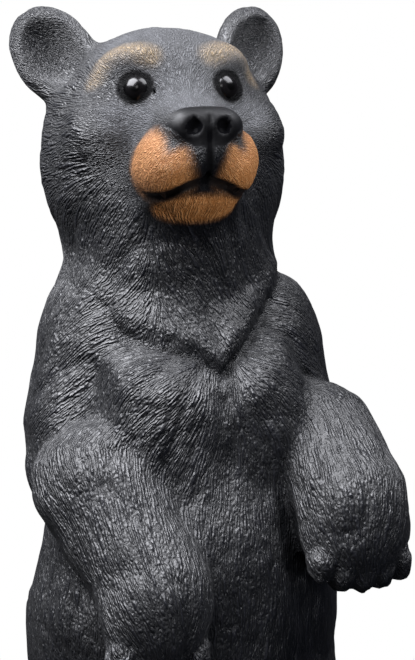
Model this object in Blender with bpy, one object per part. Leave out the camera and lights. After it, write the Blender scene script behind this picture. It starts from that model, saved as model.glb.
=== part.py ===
"""A black bear standing on its hind legs, cast in resin, on a low base, with glossy eyes set in.

Metres, +Z up. The bear faces -Y and its left side is +X. The origin is the centre of the base's
underside. The figure is modelled in sculptor's millimetres, measured from the soles, for a bear
MODELLED_HEIGHT tall, and is cast at FIGURE_HEIGHT.
"""

import itertools
import math

import bmesh
import bpy
import numpy as np
from mathutils import Euler

FIGURE_HEIGHT = 0.480
MODELLED_HEIGHT = 480.0
BASE_LENGTH = 0.235
BASE_WIDTH = 0.225
BASE_HEIGHT = 0.022
BASE_EDGE = 0.006
EYE_DIAMETER = 0.0155
EYE_GAP = 0.0003
SOLE_GAP = 0.0003

MM = FIGURE_HEIGHT / MODELLED_HEIGHT
ROUGH_STEP = 4.0
SKIN_VOXEL = 2.2
SKIN_TRIANGLES = 8300
FACE_FACTOR = 0.0085
LOCK_WIDTH = 14.0
LOCK_DEPTH = 1.5
LOCK_REACH = 16.0
NOISE = np.random.RandomState(11).uniform(-1, 1, (32, 32, 32))


def turned(x=0.0, y=0.0, z=0.0):
    """A rotation matrix from angles in degrees about X, then Y, then Z."""
    angles = [math.radians(angle) for angle in (x, y, z)]
    return np.array(Euler(angles, "XYZ").to_matrix())


HEAD_CENTRE = np.array((-11.5, 5.0, 411.0))
HEAD_TURN = turned(x=-1, y=-3.5, z=-1.5)
NOSE_TIP = np.array((0.0, -88.0, -13.0))
EYE_CENTRE = np.array((20.4, -40.5, 12.0))
EYE_AIM = np.array((0.36, -0.93, 0.06))
LID_BACK = 4.3
RUFF_TIP = np.array((3.0, -60.0, 286.0))
MOUTH = ((0, -78, -35), (12, -74, -38.5), (20, -66, -41), (27, -54, -41), (31, -44, -38.5))
ELBOWS = {1: (57, -27, 257), -1: (48, -26, 238)}
WRISTS = {1: (63, -58, 231), -1: (32, -62, 194)}
PAWS = {1: (63, -64, 216), -1: (33, -67, 180)}


def unit(vectors):
    """Each vector at length one."""
    return vectors / np.maximum(np.linalg.norm(vectors, axis=-1, keepdims=True), 1e-9)


def blob(points, centre, radii, turn=None):
    """Distance to an ellipsoid: its scaled radius less one, over the length of its slope."""
    radii = np.asarray(radii, float)
    local = points - np.asarray(centre, float)
    if turn is not None:
        local = local @ turn
    near = np.linalg.norm(local / radii, axis=1)
    slope = np.linalg.norm(local / radii**2, axis=1)
    return near * (near - 1) / np.maximum(slope, 1e-9)


def limb(points, start, end, start_radius, end_radius):
    """Distance to a tapered limb: the nearest point of its bone, less the radius there."""
    start = np.asarray(start, float)
    bone = np.asarray(end, float) - start
    along = np.clip((points - start) @ bone / (bone @ bone), 0, 1)
    reach = np.linalg.norm(points - start - along[:, None] * bone, axis=1)
    return reach - (start_radius + (end_radius - start_radius) * along)


def melt(first, second, width):
    """The union of two fields, with a fillet about as wide as width."""
    share = np.clip(0.5 + 0.5 * (second - first) / width, 0, 1)
    return second + (first - second) * share - width * share * (1 - share)


def carve(body, cutter, width):
    """The body with the cutter taken away, and an edge about as soft as width."""
    return -melt(-body, cutter, width)


def rise(value, low, high):
    """0 below low, 1 above high, and a smooth slope between them."""
    share = np.clip((value - low) / (high - low), 0, 1)
    return share * share * (3 - 2 * share)


def mirrored(points):
    """The points with their left half folded onto the right one."""
    return np.abs(points) * (1, 0, 0) + points * (0, 1, 1)


def to_head(points):
    """Points of the figure in the head's own frame."""
    return (points - HEAD_CENTRE) @ HEAD_TURN


def ruff_height(points):
    """Height over the V-shaped edge that the ruff of the neck makes on the chest."""
    across = points[:, 0] - RUFF_TIP[0]
    edge = RUFF_TIP[2] + np.where(across < 0, 0.75, 1.0) * (np.hypot(across, 5) - 5)
    return points[:, 2] - edge - 3 * noise_at(points, 17)


def torso_field(points):
    """Pelvis, hips, belly, chest, back and neck, with the ruff's edge and the parting under it."""
    body = blob(points, (0, 12, 146), (77, 68, 64))
    body = melt(body, blob(points, (0, 2, 200), (72, 66, 76)), 22)
    body = melt(body, blob(points, (-2, 4, 268), (62, 56, 66)), 22)
    body = melt(body, blob(mirrored(points - (-1, 0, 0)), (42, 6, 172), (34.5, 50, 40)), 8)
    body = melt(body, blob(mirrored(points - (1, 0, 0)), (26, -31, 266), (26, 26, 36)), 9)
    body = melt(body, blob(points, (-4, 34, 304), (48, 36, 58)), 20)
    body = melt(body, limb(points, (-5, 14, 306), (-9, 8, 372), 52, 52), 16)
    over = ruff_height(points)
    front = 1 - rise(points[:, 1], -10, 25)
    lip = 2.8 * np.exp(-(((over - 11) / 10) ** 2))
    chest = 3.4 * np.exp(-(((over + 20) / 14) ** 2))
    valley = 3.4 * np.exp(-((over / 4.5) ** 2))
    across = (points[:, 0] - RUFF_TIP[0]) / 6
    parting = 2.4 * np.exp(-(across**2)) * rise(points[:, 2], 215, 250) * rise(-over, 4, 12)
    return body - front * (lip + chest - valley - parting)


def paw_field(points, centre, radii):
    """One forepaw, hanging, with its toes side by side along its lower edge."""
    paw = blob(points, centre, radii)
    for toe in range(5):
        share = (toe - 2) / 2
        drop = radii[2] * (0.68 - 0.20 * share**2)
        place = np.array(centre, float) + (share * radii[0] * 0.74, -6, -drop)
        paw = melt(paw, blob(points, place, (6.4, 10, 9)), 2)
    return paw


def arm_field(points, side):
    """One foreleg, bent at the elbow, with the paw hanging. side is 1 on the bear's left."""
    mine = points * (side, 1, 1)
    if side > 0:
        shoulder = blob(mine, (37, 8, 303), (31, 36, 40), turned(y=12))
        upper = limb(mine, (42, 7, 296), (50, 3, 268), 29, 28)
        fore = limb(mine, ELBOWS[side], WRISTS[side], 30, 27)
        hand = paw_field(mine, PAWS[side], (26, 21, 25))
    else:
        shoulder = blob(mine, (38, 9, 310), (31, 37, 40), turned(y=12))
        upper = limb(mine, (43, 7, 302), (50, 3, 264), 31, 31)
        upper = melt(upper, blob(mine, (50, 2, 244), (31, 30, 27)), 6)
        fore = limb(mine, ELBOWS[side], WRISTS[side], 32, 25)
        fore = melt(fore, blob(mine, ELBOWS[side], (33, 32, 28)), 6)
        hand = paw_field(mine, PAWS[side], (23, 20, 26))
    return melt(melt(fore, hand, 9), melt(shoulder, upper, 10), 2.5)


def leg_field(points):
    """Both hind legs, with flat soles and five toes to a foot."""
    sides = mirrored(points)
    leg = blob(sides, (42, -4, 100), (37, 54, 58))
    leg = melt(leg, limb(sides, (46, 12, 80), (50, 14, 30), 32, 29), 14)
    foot_turn = turned(z=12)
    leg = melt(leg, blob(sides, (55, -20, 15), (27, 50, 19), foot_turn), 12)
    for toe in range(5):
        angle = math.radians(-52 + 26 * toe)
        place = np.array((20 * math.sin(angle), -46 - 14 * math.cos(angle), 9))
        place = np.array((55, -12, 2)) + foot_turn @ place
        leg = melt(leg, blob(sides, place, (7.5, 11, 9)), 2)
    return leg


def ear_field(head):
    """One cupped ear, leaning outwards, and the hollow of its cup."""
    turn = turned(x=-6, y=34, z=24)
    ear = blob(head, (50.4, 12, 40), (20.5, 12, 28.5), turn)
    cup = blob(head, (53.4, 1.5, 41), (14, 11, 20.5), turn)
    return ear, cup


def tube(points, path, radius):
    """Distance to a round cord along a path of points."""
    near = np.full(len(points), np.inf)
    for start, end in zip(path, path[1:]):
        near = np.minimum(near, limb(points, start, end, radius, radius))
    return near


def muzzle_field(head):
    """Bridge, lip pads, chin, closed mouth, nose and nostrils, on points folded to one side."""
    muzzle = limb(head, (0, -34, -8), (0, -72, -20), 25, 17)
    muzzle = melt(muzzle, blob(head, (12.5, -60, -25.5), (16, 23, 18)), 4)
    muzzle = melt(muzzle, blob(head, (0, -52, -38.5), (22.5, 21.5, 10.8)), 2.5)
    muzzle = carve(muzzle, tube(head, MOUTH, 2.1), 1.6)
    nose = blob(head, (0, -80, -12.5), (14, 10.5, 9.5))
    nose = melt(nose, blob(head, (9, -79, -12.5), (8.5, 9.5, 8.5)), 4)
    nose = melt(nose, blob(head, (13, -73, -11), (6, 9, 5.5)), 3)
    nose = carve(nose, blob(head, (6.4, -90, -13.5), (3.7, 8, 4.2)), 1.4)
    muzzle = melt(muzzle, nose, 2)
    line = np.exp(-((head[:, 0] / 1.6) ** 2)) * rise(-head[:, 1], 68, 76)
    window = rise(head[:, 2], -38, -33) * (1 - rise(head[:, 2], -12, -6))
    return muzzle + 1.6 * line * window


def head_field(points):
    """Skull, cheeks, muzzle, brows, eyelids and ears."""
    head = mirrored(to_head(points))
    skull = blob(head, (0, 8, 4), (56, 53, 46))
    skull = melt(skull, blob(head, (27, 4, -20), (34, 41, 36)), 16)
    skull = melt(skull, blob(head, (0, -20, 18), (36, 28, 25)), 14)
    skull = melt(skull, blob(head, (35, -28, -6), (17, 17, 15)), 12)
    ear, cup = ear_field(head)
    skull = carve(melt(skull, ear, 7), cup, 4)
    skull = melt(skull, blob(head, (21, -34, 27), (14, 11, 7), turned(y=8, z=20)), 8)
    skull = melt(skull, muzzle_field(head), 9)
    lid = EYE_CENTRE - LID_BACK * unit(EYE_AIM)
    return melt(skull, blob(head, lid, (12.4, 9.8, 10.0), turned(y=10, z=22)), 3)


def figure_field(points):
    """The whole figure, less than 0 inside, in sculptor's millimetres."""
    body = torso_field(points)
    body = melt(body, leg_field(points), 12)
    body = melt(body, head_field(points), 14)
    for side in (-1, 1):
        body = melt(body, arm_field(points, side), 5)
    body = melt(body, blob(points, (0, 80, 130), (13, 14, 10)), 8)
    return np.maximum(body, -points[:, 2])


def slope_of(field, points, step=0.05):
    """The field's value and unit slope, from four samples at the corners of a tetrahedron."""
    corners = np.array(((1, 1, 1), (1, -1, -1), (-1, 1, -1), (-1, -1, 1)), float)
    samples = [field(points + step * corner) for corner in corners]
    slope = sum(sample[:, None] * corner for sample, corner in zip(samples, corners))
    return sum(samples) / len(samples), unit(slope)


def settle(field, points, rounds=6, share=0.8, most=3.0):
    """Points moved down the field's slope, a share of the way each round, to its surface."""
    for _ in range(rounds):
        value, slope = slope_of(field, points)
        points = points - np.clip(share * value, -most, most)[:, None] * slope
    return points


def noise_at(points, pitch):
    """Smooth noise from -1 to 1: a lattice of fixed random values, blended between its nodes."""
    cell = points / pitch
    low = np.floor(cell).astype(int)
    part = cell - low
    part = part * part * (3 - 2 * part)
    total = np.zeros(len(points))
    for corner in itertools.product((0, 1), repeat=3):
        share = np.prod(np.where(corner, part, 1 - part), axis=1)
        total += share * NOISE[tuple(((low + corner) % len(NOISE)).T)]
    return total


def trunk_way(points):
    """The way of the fur on the trunk. The ruff lies aslant and leaves both shoulders outwards. Under
    its tip the fur spreads like a fan, and on the belly it hangs straight down."""
    across = (points[:, 0] - RUFF_TIP[0])[:, None]
    lean = 0.5 - 1.4 * rise(-across, 22, 42) + 0.8 * rise(across, 20, 45)
    ruff = lean * (1, 0, 0) + (0, 0, -1)
    fan = unit((points - RUFF_TIP - (0, 0, 22)) * (1, 0, 1))
    hang = rise(-points[:, 2], -250, -185)[:, None]
    fan = (1 - hang) * fan + hang * (0, 0, -1)
    return np.where(ruff_height(points)[:, None] > 0, unit(ruff), unit(fan))


def fur_way(points, slope):
    """The way the fur lies at each point of the skin, as a unit vector along the skin."""
    local = to_head(points)
    head_way = unit(local - NOSE_TIP + (0, -12, 4))
    head_way = head_way - (0, 0, 1.2) * rise(-local[:, 2], 20, 60)[:, None]
    trunk = np.minimum(torso_field(points), leg_field(points))
    parts = [(head_field(points), unit(head_way @ HEAD_TURN.T)), (trunk, trunk_way(points))]
    for side in (-1, 1):
        elbow = np.array(ELBOWS[side], float) * (side, 1, 1)
        bone = unit(np.array(PAWS[side], float) * (side, 1, 1) - elbow)
        spread = unit(points - elbow - (0, 0, 34))
        lower = rise(elbow[2] + 22 - points[:, 2], -6, 6)[:, None]
        way = lower * (0.6 * bone + 0.4 * spread) + (1 - lower) * unit(np.array((1.4 * side, 0, -1)))
        parts.append((arm_field(points, side), unit(way)))
    way = sum(np.exp(-np.maximum(field, 0) / 4)[:, None] * part for field, part in parts)
    sway = np.stack([noise_at(points + 40 * axis, 26) for axis in (1, 2, 3)], axis=1)
    way = unit(way) + 0.2 * sway
    return unit(way - np.sum(way * slope, axis=1, keepdims=True) * slope)


def bare(points):
    """1 on smooth skin such as the nose, lips, eyelids and soles, and 0 in full fur."""
    head = mirrored(to_head(points))
    nose = 1 - rise(blob(head, (0, -80, -14), (19, 14, 13)), 0, 5)
    mouth = 1 - rise(tube(head, MOUTH, 3), 0, 4)
    lids = 1 - rise(np.linalg.norm(head - EYE_CENTRE, axis=1), 11, 16)
    soles = 1 - rise(points[:, 2], 2, 12)
    return np.maximum.reduce([nose, mouth, lids, soles])


def lock_relief(points, slope):
    """Height of the broad locks: noise smeared along the fur, folded at zero into creases."""
    way = fur_way(points, slope)
    steps = np.linspace(-LOCK_REACH, LOCK_REACH, 9)
    smeared = sum(noise_at(points + step * way, LOCK_WIDTH) for step in steps) / len(steps)
    ridge = np.minimum(np.abs(smeared) * 3.2, 1)
    on_head = 1 - 0.5 * rise(points[:, 2], 345, 375)
    return LOCK_DEPTH * (ridge - 0.5) * on_head * (1 - bare(points))


def mesh_from(name, points, faces):
    """A mesh made of arrays of points and faces."""
    mesh = bpy.data.meshes.new(name)
    mesh.from_pydata(points.tolist(), [], faces.tolist())
    mesh.validate()
    return mesh


def rough_skin(field, low, high, step):
    """A coarse closed skin: one point for each crossed cell, one face for each crossed edge."""
    sizes = [int((top - bottom) / step) + 2 for bottom, top in zip(low, high)]
    places = np.stack(np.meshgrid(*[np.arange(size) for size in sizes], indexing="ij"), -1)
    places = places.reshape(-1, 3) * step + np.array(low)
    inside = (field(places) < 0).reshape(sizes)
    numbers = np.full(sizes, -1)
    cells = [slice(0, -1)] * 3
    count = sum(
        inside[tuple(slice(c, size - 1 + c) for c, size in zip(corner, sizes))].astype(int)
        for corner in itertools.product((0, 1), repeat=3)
    )
    crossed = (count > 0) & (count < 8)
    numbers[tuple(cells)][crossed] = np.arange(crossed.sum())
    points = (np.argwhere(crossed) + 0.5) * step + np.array(low)
    faces = []
    for axis in range(3):
        second, third = (axis + 1) % 3, (axis + 2) % 3
        ahead = np.roll(inside, -1, axis)
        around = [
            numbers,
            np.roll(numbers, 1, second),
            np.roll(np.roll(numbers, 1, second), 1, third),
            np.roll(numbers, 1, third),
        ]
        for start, order in ((inside & ~ahead, (2, 3, 0, 1)), (ahead & ~inside, (1, 0, 3, 2))):
            faces.append(np.stack([around[turn][start] for turn in order], axis=1))
    return points, np.concatenate(faces)


def evaluated_arrays(obj):
    """Points and triangles of an object with its modifiers."""
    bpy.context.view_layer.update()
    graph = bpy.context.evaluated_depsgraph_get()
    evaluated = obj.evaluated_get(graph)
    mesh = evaluated.to_mesh()
    mesh.calc_loop_triangles()
    points = np.empty(len(mesh.vertices) * 3)
    faces = np.empty(len(mesh.loop_triangles) * 3, np.int32)
    mesh.vertices.foreach_get("co", points)
    mesh.loop_triangles.foreach_get("vertices", faces)
    evaluated.to_mesh_clear()
    return points.reshape(-1, 3), faces.reshape(-1, 3)


def remeshed(mesh, voxel):
    """Points and triangles of a mesh after a voxel remesh."""
    helper = bpy.data.objects.new("remesh_helper", mesh)
    bpy.context.scene.collection.objects.link(helper)
    remesh = helper.modifiers.new("one_skin", "REMESH")
    remesh.mode = "VOXEL"
    remesh.voxel_size = voxel
    points, faces = evaluated_arrays(helper)
    bpy.data.objects.remove(helper)
    return points, faces


def figure_skin():
    """The figure's skin, settled onto its field and then raised into locks of fur."""
    points, faces = rough_skin(figure_field, (-100, -104, -8), (100, 104, 484), ROUGH_STEP)
    points = settle(figure_field, points)
    points, faces = remeshed(mesh_from("settled", points, faces), SKIN_VOXEL)
    points = settle(figure_field, points)
    slope = slope_of(figure_field, points)[1]
    return points + lock_relief(points, slope)[:, None] * slope, faces


def material(name, colour, roughness, metallic=0.0):
    """A plain Principled material."""
    made = bpy.data.materials.new(name)
    made.use_nodes = True
    shader = made.node_tree.nodes["Principled BSDF"]
    shader.inputs["Base Color"].default_value = (*colour, 1)
    shader.inputs["Roughness"].default_value = roughness
    shader.inputs["Metallic"].default_value = metallic
    return made


def add_object(name, mesh, look):
    """An object in the scene, shaded smooth."""
    obj = bpy.data.objects.new(name, mesh)
    bpy.context.scene.collection.objects.link(obj)
    mesh.materials.append(look)
    mesh.shade_smooth()
    return obj


def eye_places():
    """The two eyes' sides and centres in metres, above the base."""
    lift = np.array((0, 0, BASE_HEIGHT + SOLE_GAP))
    for side in (-1, 1):
        local = EYE_CENTRE * (side, 1, 1)
        yield side, (HEAD_CENTRE + HEAD_TURN @ local) * MM + lift


def ball_mesh(name, radius):
    """A ball, with enough sides to look round."""
    ball = bmesh.new()
    bmesh.ops.create_uvsphere(ball, u_segments=16, v_segments=10, radius=radius)
    mesh = bpy.data.meshes.new(name)
    ball.to_mesh(mesh)
    ball.free()
    return mesh


def add_eyes(bear, look):
    """The eyes, and the sockets cut for them."""
    radius = EYE_DIAMETER / 2
    for side, place in eye_places():
        word = "left" if side > 0 else "right"
        eye = add_object(f"eye_{word}", ball_mesh(f"eye_{word}", radius), look)
        eye.location = place
        cutter_mesh = ball_mesh(f"socket_{word}", radius + EYE_GAP)
        cutter = bpy.data.objects.new(f"socket_{word}", cutter_mesh)
        bpy.context.scene.collection.objects.link(cutter)
        cutter.location = place
        cutter.hide_render = True
        cutter.display_type = "WIRE"
        cut = bear.modifiers.new(f"socket_{word}", "BOOLEAN")
        cut.operation = "DIFFERENCE"
        cut.object = cutter


def face_share(points):
    """1 around the eyes, nose and mouth, where the triangles stay small, and 0 far from them."""
    head = mirrored(to_head(points))
    muzzle = 1 - rise(blob(head, (0, -62, -24), (32, 32, 34)), 0, 10)
    lids = 1 - rise(np.linalg.norm(head - EYE_CENTRE, axis=1), 14, 22)
    return np.maximum(muzzle, lids)


def add_bear(look):
    """The cast figure, thinned to the triangles that its form needs."""
    points, faces = figure_skin()
    points[np.abs(points[:, 2]) < 0.05, 2] = 0.0
    cast = points * MM + (0, 0, BASE_HEIGHT + SOLE_GAP)
    bear = add_object("bear", mesh_from("bear", cast, faces), look)
    plain = bear.vertex_groups.new(name="plain")
    share = (face_share(points) * 4).round()
    for level in range(5):
        plain.add(np.flatnonzero(share == level).tolist(), 1 - level / 8, "REPLACE")
    thin = bear.modifiers.new("thin", "DECIMATE")
    thin.ratio = SKIN_TRIANGLES / len(faces)
    thin.vertex_group = plain.name
    thin.vertex_group_factor = FACE_FACTOR
    return bear


def add_base(look):
    """The low oval base, with a rounded top edge."""
    disc = bmesh.new()
    bmesh.ops.create_cone(
        disc, cap_ends=True, segments=48, radius1=0.5, radius2=0.5, depth=BASE_HEIGHT
    )
    bmesh.ops.scale(disc, vec=(BASE_LENGTH, BASE_WIDTH, 1), verts=disc.verts)
    bmesh.ops.translate(disc, vec=(0, 0, BASE_HEIGHT / 2), verts=disc.verts)
    rim = [edge for edge in disc.edges if min(v.co.z for v in edge.verts) > BASE_HEIGHT / 2]
    bmesh.ops.bevel(disc, geom=rim, offset=BASE_EDGE, segments=3, affect="EDGES", profile=0.5)
    mesh = bpy.data.meshes.new("base")
    disc.to_mesh(mesh)
    disc.free()
    return add_object("base", mesh, look)


def main():
    for obj in list(bpy.data.objects):
        bpy.data.objects.remove(obj)
    black = material("black_painted_resin", (0.012, 0.012, 0.014), 0.42)
    gloss = material("gloss_black_eye", (0.004, 0.004, 0.005), 0.05)
    earth = material("painted_resin_base", (0.05, 0.04, 0.03), 0.6)
    bear = add_bear(black)
    add_eyes(bear, gloss)
    add_base(earth)


main()
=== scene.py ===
"""A black bear statue in painted cast resin, standing on its hind legs on a low base.

Metres, +Z up. The bear faces -Y. The figure's skin is worked out in sculptor's millimetres,
measured from the soles, by the same fields as the solid that it stands for. The strands of the
fur, the rims and folds of the lids and the ragged edge of the ruff are added here.
"""

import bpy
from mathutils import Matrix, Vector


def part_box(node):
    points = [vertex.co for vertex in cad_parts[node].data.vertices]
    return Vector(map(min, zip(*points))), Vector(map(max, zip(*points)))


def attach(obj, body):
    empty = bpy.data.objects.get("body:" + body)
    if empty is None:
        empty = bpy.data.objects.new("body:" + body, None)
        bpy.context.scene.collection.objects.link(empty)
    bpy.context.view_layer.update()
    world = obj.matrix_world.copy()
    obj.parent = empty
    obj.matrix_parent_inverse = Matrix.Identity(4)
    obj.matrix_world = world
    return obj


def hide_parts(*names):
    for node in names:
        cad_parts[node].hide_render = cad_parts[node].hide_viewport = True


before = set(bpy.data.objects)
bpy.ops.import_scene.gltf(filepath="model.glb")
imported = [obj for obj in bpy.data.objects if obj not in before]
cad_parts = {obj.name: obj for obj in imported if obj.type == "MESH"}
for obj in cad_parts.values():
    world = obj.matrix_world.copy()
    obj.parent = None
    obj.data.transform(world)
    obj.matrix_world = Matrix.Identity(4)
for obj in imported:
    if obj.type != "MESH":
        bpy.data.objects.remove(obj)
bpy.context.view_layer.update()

import itertools
import math

import bpy
import numpy as np
from bpy.props import FloatProperty, FloatVectorProperty, IntProperty, PointerProperty
from mathutils import Euler, Vector

bl_info = {
    "name": "Resin bear statue",
    "version": (1, 0, 0),
    "blender": (4, 5, 0),
    "location": "View3D > Sidebar > Bear statue",
    "description": "Makes the carved, painted skin, the glass-like eyes and the base of a bear statue",
    "category": "Add Mesh",
}

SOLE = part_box("bear")[0].z
BASE_LOW, BASE_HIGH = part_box("base")
MM = 0.001
NOISE = np.random.RandomState(11).uniform(-1, 1, (32, 32, 32))

# The skin, in millimetres: its first grid, and the width, depth and half length of its locks.
ROUGH_STEP = 4.0
LOCK_WIDTH = 14.0
LOCK_DEPTH = 1.5
LOCK_REACH = 16.0
# The lids, in millimetres from the middle of the eye: rim, its thickness, and the upper fold.
RIM_OUT = 2.6
RIM_RADIUS = 7.8
RIM_THICK = 0.8
FOLD_RADIUS = 10.2
# The edge of the ruff, in millimetres: distance across from its tip, and height over the tip.
RUFF_EDGE = (
    (-64, 42), (-52, 33), (-46, 26), (-40, 20), (-33, 17.5), (-20, 15.5), (-12, 11.3), (-6.5, 5.6),
    (0, 0), (6, 9.5), (14, 18), (29, 34), (45, 50),
)
# How much more the thinning of the mesh spares its fine places.
FINE_FACTOR = 0.5
# Noise samples along a strand, a long hair and a short one, the size of a short hair against a
# long one, and how steeply the folded noise rises from the crease between two hairs or strands.
STRAND_TAPS = 9
HAIR_TAPS = 13
FINE_TAPS = 11
SHORT_SHARE = 0.5
HAIR_GAIN = 8.0
STRAND_GAIN = 3.2
# Depth, in millimetres, at which a hollow counts as open.
HOLLOW_REACH = 9
# Scales per metre: grit of the sprayed enamel, 0.7 mm, drawn coarser than it is so that it shows,
# then crumbs of 2.4 mm, grains of 1.9 mm and patches of 26 mm in the modelled earth.
GRIT_SCALE = 1400.0
CRUMB_SCALE = 420.0
GRAIN_SCALE = 520.0
PATCH_SCALE = 38.0
# Grids of the eyes and the base, and the rounding of the base's upper corner in metres.
EYE_RINGS = 40
EYE_SPOKES = 64
BASE_SPOKES = 480
BASE_ROUND = 0.006
# The floor, and the camera: its turn in degrees, its aim in metres and its sensor in millimetres.
FLOOR_SPOKES = 96
FLOOR_RADIUS = 0.65
VIEW_TURN = -16.0
VIEW_HEIGHT = 0.333
VIEW_SHIFT = 0.00975
SENSOR = 36.0


def turned(x=0.0, y=0.0, z=0.0):
    """A rotation matrix from angles in degrees about X, then Y, then Z."""
    angles = [math.radians(angle) for angle in (x, y, z)]
    return np.array(Euler(angles, "XYZ").to_matrix())


HEAD_CENTRE = np.array((-11.5, 5.0, 411.0))
HEAD_TURN = turned(x=-1, y=-3.5, z=-1.5)
NOSE_TIP = np.array((0.0, -88.0, -13.0))
EYE_CENTRE = np.array((20.4, -40.5, 12.0))
EYE_AIM = np.array((0.36, -0.93, 0.06))
LID_BACK = 4.3
RUFF_TIP = np.array((3.0, -60.0, 286.0))
MOUTH = ((0, -78, -35), (12, -74, -38.5), (20, -66, -41), (27, -54, -41), (31, -44, -38.5))
ELBOWS = {1: (57, -27, 257), -1: (48, -26, 238)}
WRISTS = {1: (63, -58, 231), -1: (32, -62, 194)}
PAWS = {1: (63, -64, 216), -1: (33, -67, 180)}


def unit(vectors):
    """Each vector at length one."""
    return vectors / np.maximum(np.linalg.norm(vectors, axis=-1, keepdims=True), 1e-9)


def blob(points, centre, radii, turn=None):
    """Distance to an ellipsoid: its scaled radius less one, over the length of its slope."""
    radii = np.asarray(radii, float)
    local = points - np.asarray(centre, float)
    if turn is not None:
        local = local @ turn
    near = np.linalg.norm(local / radii, axis=1)
    slope = np.linalg.norm(local / radii**2, axis=1)
    return near * (near - 1) / np.maximum(slope, 1e-9)


def limb(points, start, end, start_radius, end_radius):
    """Distance to a tapered limb: the nearest point of its bone, less the radius there."""
    start = np.asarray(start, float)
    bone = np.asarray(end, float) - start
    along = np.clip((points - start) @ bone / (bone @ bone), 0, 1)
    reach = np.linalg.norm(points - start - along[:, None] * bone, axis=1)
    return reach - (start_radius + (end_radius - start_radius) * along)


def melt(first, second, width):
    """The union of two fields, with a fillet about as wide as width."""
    share = np.clip(0.5 + 0.5 * (second - first) / width, 0, 1)
    return second + (first - second) * share - width * share * (1 - share)


def carve(body, cutter, width):
    """The body with the cutter taken away, and an edge about as soft as width."""
    return -melt(-body, cutter, width)


def rise(value, low, high):
    """0 below low, 1 above high, and a smooth slope between them."""
    share = np.clip((value - low) / (high - low), 0, 1)
    return share * share * (3 - 2 * share)


def mirrored(points):
    """The points with their left half folded onto the right one."""
    return np.abs(points) * (1, 0, 0) + points * (0, 1, 1)


def to_head(points):
    """Points of the figure in the head's own frame."""
    return (points - HEAD_CENTRE) @ HEAD_TURN


def ruff_height(points):
    """Height over the V-shaped edge that the ruff of the neck makes on the chest."""
    edge = RUFF_TIP[2] + np.interp(points[:, 0] - RUFF_TIP[0], *zip(*RUFF_EDGE))
    return points[:, 2] - edge - 1.5 * noise_at(points, 17) - 1.2 * noise_at(points, 5)


def torso_field(points):
    """Pelvis, hips, belly, chest, back and neck, with the ruff's edge and the parting under it."""
    body = blob(points, (0, 12, 146), (77, 68, 64))
    body = melt(body, blob(points, (0, 2, 200), (72, 66, 76)), 22)
    body = melt(body, blob(points, (-2, 4, 268), (62, 56, 66)), 22)
    body = melt(body, blob(mirrored(points - (-1, 0, 0)), (42, 6, 172), (34.5, 50, 40)), 8)
    body = melt(body, blob(mirrored(points - (1, 0, 0)), (26, -31, 266), (26, 26, 36)), 9)
    body = melt(body, blob(points, (-4, 34, 304), (48, 36, 58)), 20)
    body = melt(body, limb(points, (-5, 14, 306), (-9, 8, 372), 52, 52), 16)
    over = ruff_height(points)
    front = 1 - rise(points[:, 1], -10, 25)
    lip = 2.8 * np.exp(-(((over - 11) / 10) ** 2))
    chest = 3.4 * np.exp(-(((over + 20) / 14) ** 2))
    valley = (2.6 + 1.6 * noise_at(points, 13)) * np.exp(-((over / 4.5) ** 2))
    across = (points[:, 0] - RUFF_TIP[0]) / 6
    parting = 2.4 * np.exp(-(across**2)) * rise(points[:, 2], 215, 250) * rise(-over, 4, 12)
    return body - front * (lip + chest - valley - parting)


def paw_field(points, centre, radii):
    """One forepaw, hanging, with its toes side by side along its lower edge."""
    paw = blob(points, centre, radii)
    for toe in range(5):
        share = (toe - 2) / 2
        drop = radii[2] * (0.68 - 0.20 * share**2)
        place = np.array(centre, float) + (share * radii[0] * 0.74, -6, -drop)
        paw = melt(paw, blob(points, place, (6.4, 10, 9)), 2)
    return paw


def arm_field(points, side):
    """One foreleg, bent at the elbow, with the paw hanging. side is 1 on the bear's left."""
    mine = points * (side, 1, 1)
    if side > 0:
        shoulder = blob(mine, (37, 8, 303), (31, 36, 40), turned(y=12))
        upper = limb(mine, (42, 7, 296), (50, 3, 268), 29, 28)
        fore = limb(mine, ELBOWS[side], WRISTS[side], 30, 27)
        hand = paw_field(mine, PAWS[side], (26, 21, 25))
    else:
        shoulder = blob(mine, (38, 9, 310), (31, 37, 40), turned(y=12))
        upper = limb(mine, (43, 7, 302), (50, 3, 264), 31, 31)
        upper = melt(upper, blob(mine, (50, 2, 244), (31, 30, 27)), 6)
        fore = limb(mine, ELBOWS[side], WRISTS[side], 32, 25)
        fore = melt(fore, blob(mine, ELBOWS[side], (33, 32, 28)), 6)
        hand = paw_field(mine, PAWS[side], (23, 20, 26))
    return melt(melt(fore, hand, 9), melt(shoulder, upper, 10), 2.5)


def leg_field(points):
    """Both hind legs, with flat soles and five toes to a foot."""
    sides = mirrored(points)
    leg = blob(sides, (42, -4, 100), (37, 54, 58))
    leg = melt(leg, limb(sides, (46, 12, 80), (50, 14, 30), 32, 29), 14)
    foot_turn = turned(z=12)
    leg = melt(leg, blob(sides, (55, -20, 15), (27, 50, 19), foot_turn), 12)
    for toe in range(5):
        angle = math.radians(-52 + 26 * toe)
        place = np.array((20 * math.sin(angle), -46 - 14 * math.cos(angle), 9))
        place = np.array((55, -12, 2)) + foot_turn @ place
        leg = melt(leg, blob(sides, place, (7.5, 11, 9)), 2)
    return leg


def ear_field(head):
    """One cupped ear, leaning outwards, and the hollow of its cup."""
    turn = turned(x=-6, y=34, z=24)
    ear = blob(head, (50.4, 12, 40), (20.5, 12, 28.5), turn)
    cup = blob(head, (53.4, 1.5, 41), (14, 11, 20.5), turn)
    return ear, cup


def tube(points, path, radius):
    """Distance to a round cord along a path of points."""
    near = np.full(len(points), np.inf)
    for start, end in zip(path, path[1:]):
        near = np.minimum(near, limb(points, start, end, radius, radius))
    return near


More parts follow.
